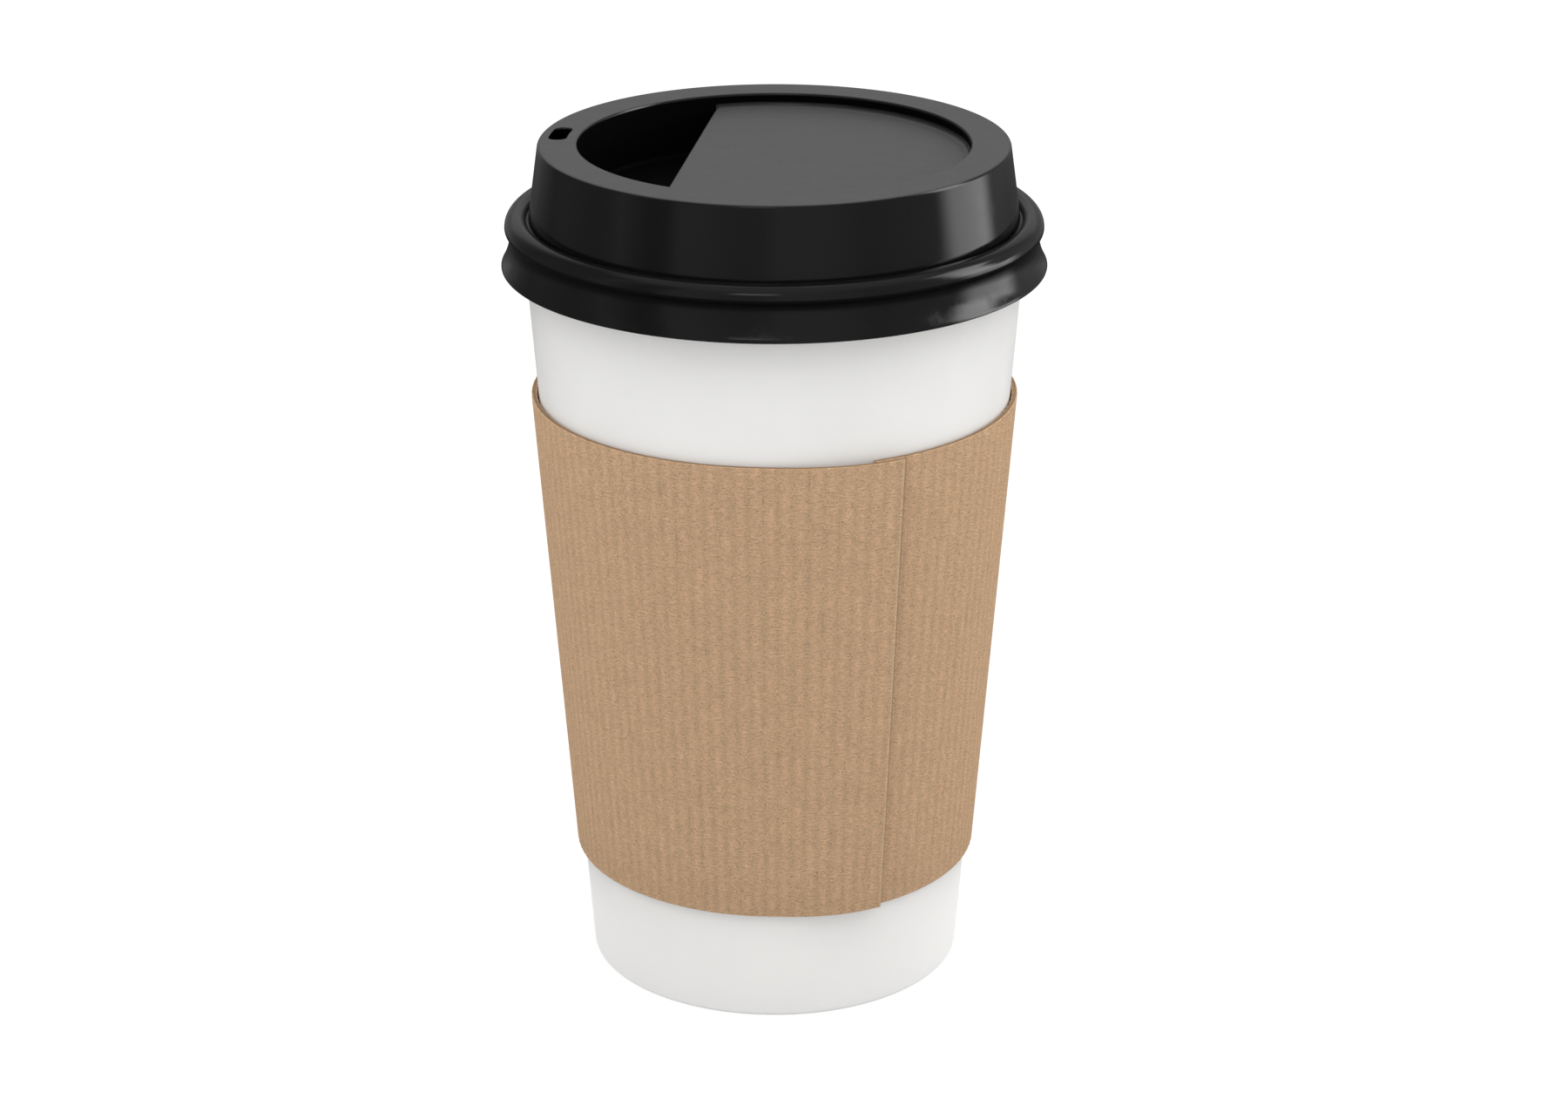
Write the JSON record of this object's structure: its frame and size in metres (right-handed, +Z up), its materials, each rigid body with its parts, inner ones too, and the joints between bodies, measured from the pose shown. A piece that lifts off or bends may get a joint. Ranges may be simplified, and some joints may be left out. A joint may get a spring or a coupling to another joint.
{
  "type": "paper coffee cup",
  "caption": "Tall tapered white paper cup for hot drinks with a ribbed brown card sleeve and a black domed sip lid that lifts off.",
  "frame": {"origin": "middle of the cup's foot ring, on the surface it stands on", "axes": "+Z up along the cup's axis; -X towards the lid's sip hole; the sleeve's glued flap ends near the -Y side and the cup's side seam is near +Y"},
  "size_m": [0.0928, 0.0928, 0.1481],
  "materials": {
    "cup_board": "smooth white coated paperboard, satin",
    "base_board": "smooth white coated paperboard, satin",
    "sleeve_kraft": "uncoated brown kraft single-face board, matt, with fine upright ribs",
    "lid_plastic": "glossy black thermoformed sheet"
  },
  "bodies": {
    "cup": {"cup_wall": "cup_board", "cup_base": "base_board", "sleeve": "sleeve_kraft"},
    "lid": {"lid": "lid_plastic"}
  },
  "joints": [
    {"name": "lid_lift", "type": "slide", "parent": "cup", "child": "lid", "axis": [0, 0, 1], "range_m": [0, 0.04]}
  ]
}
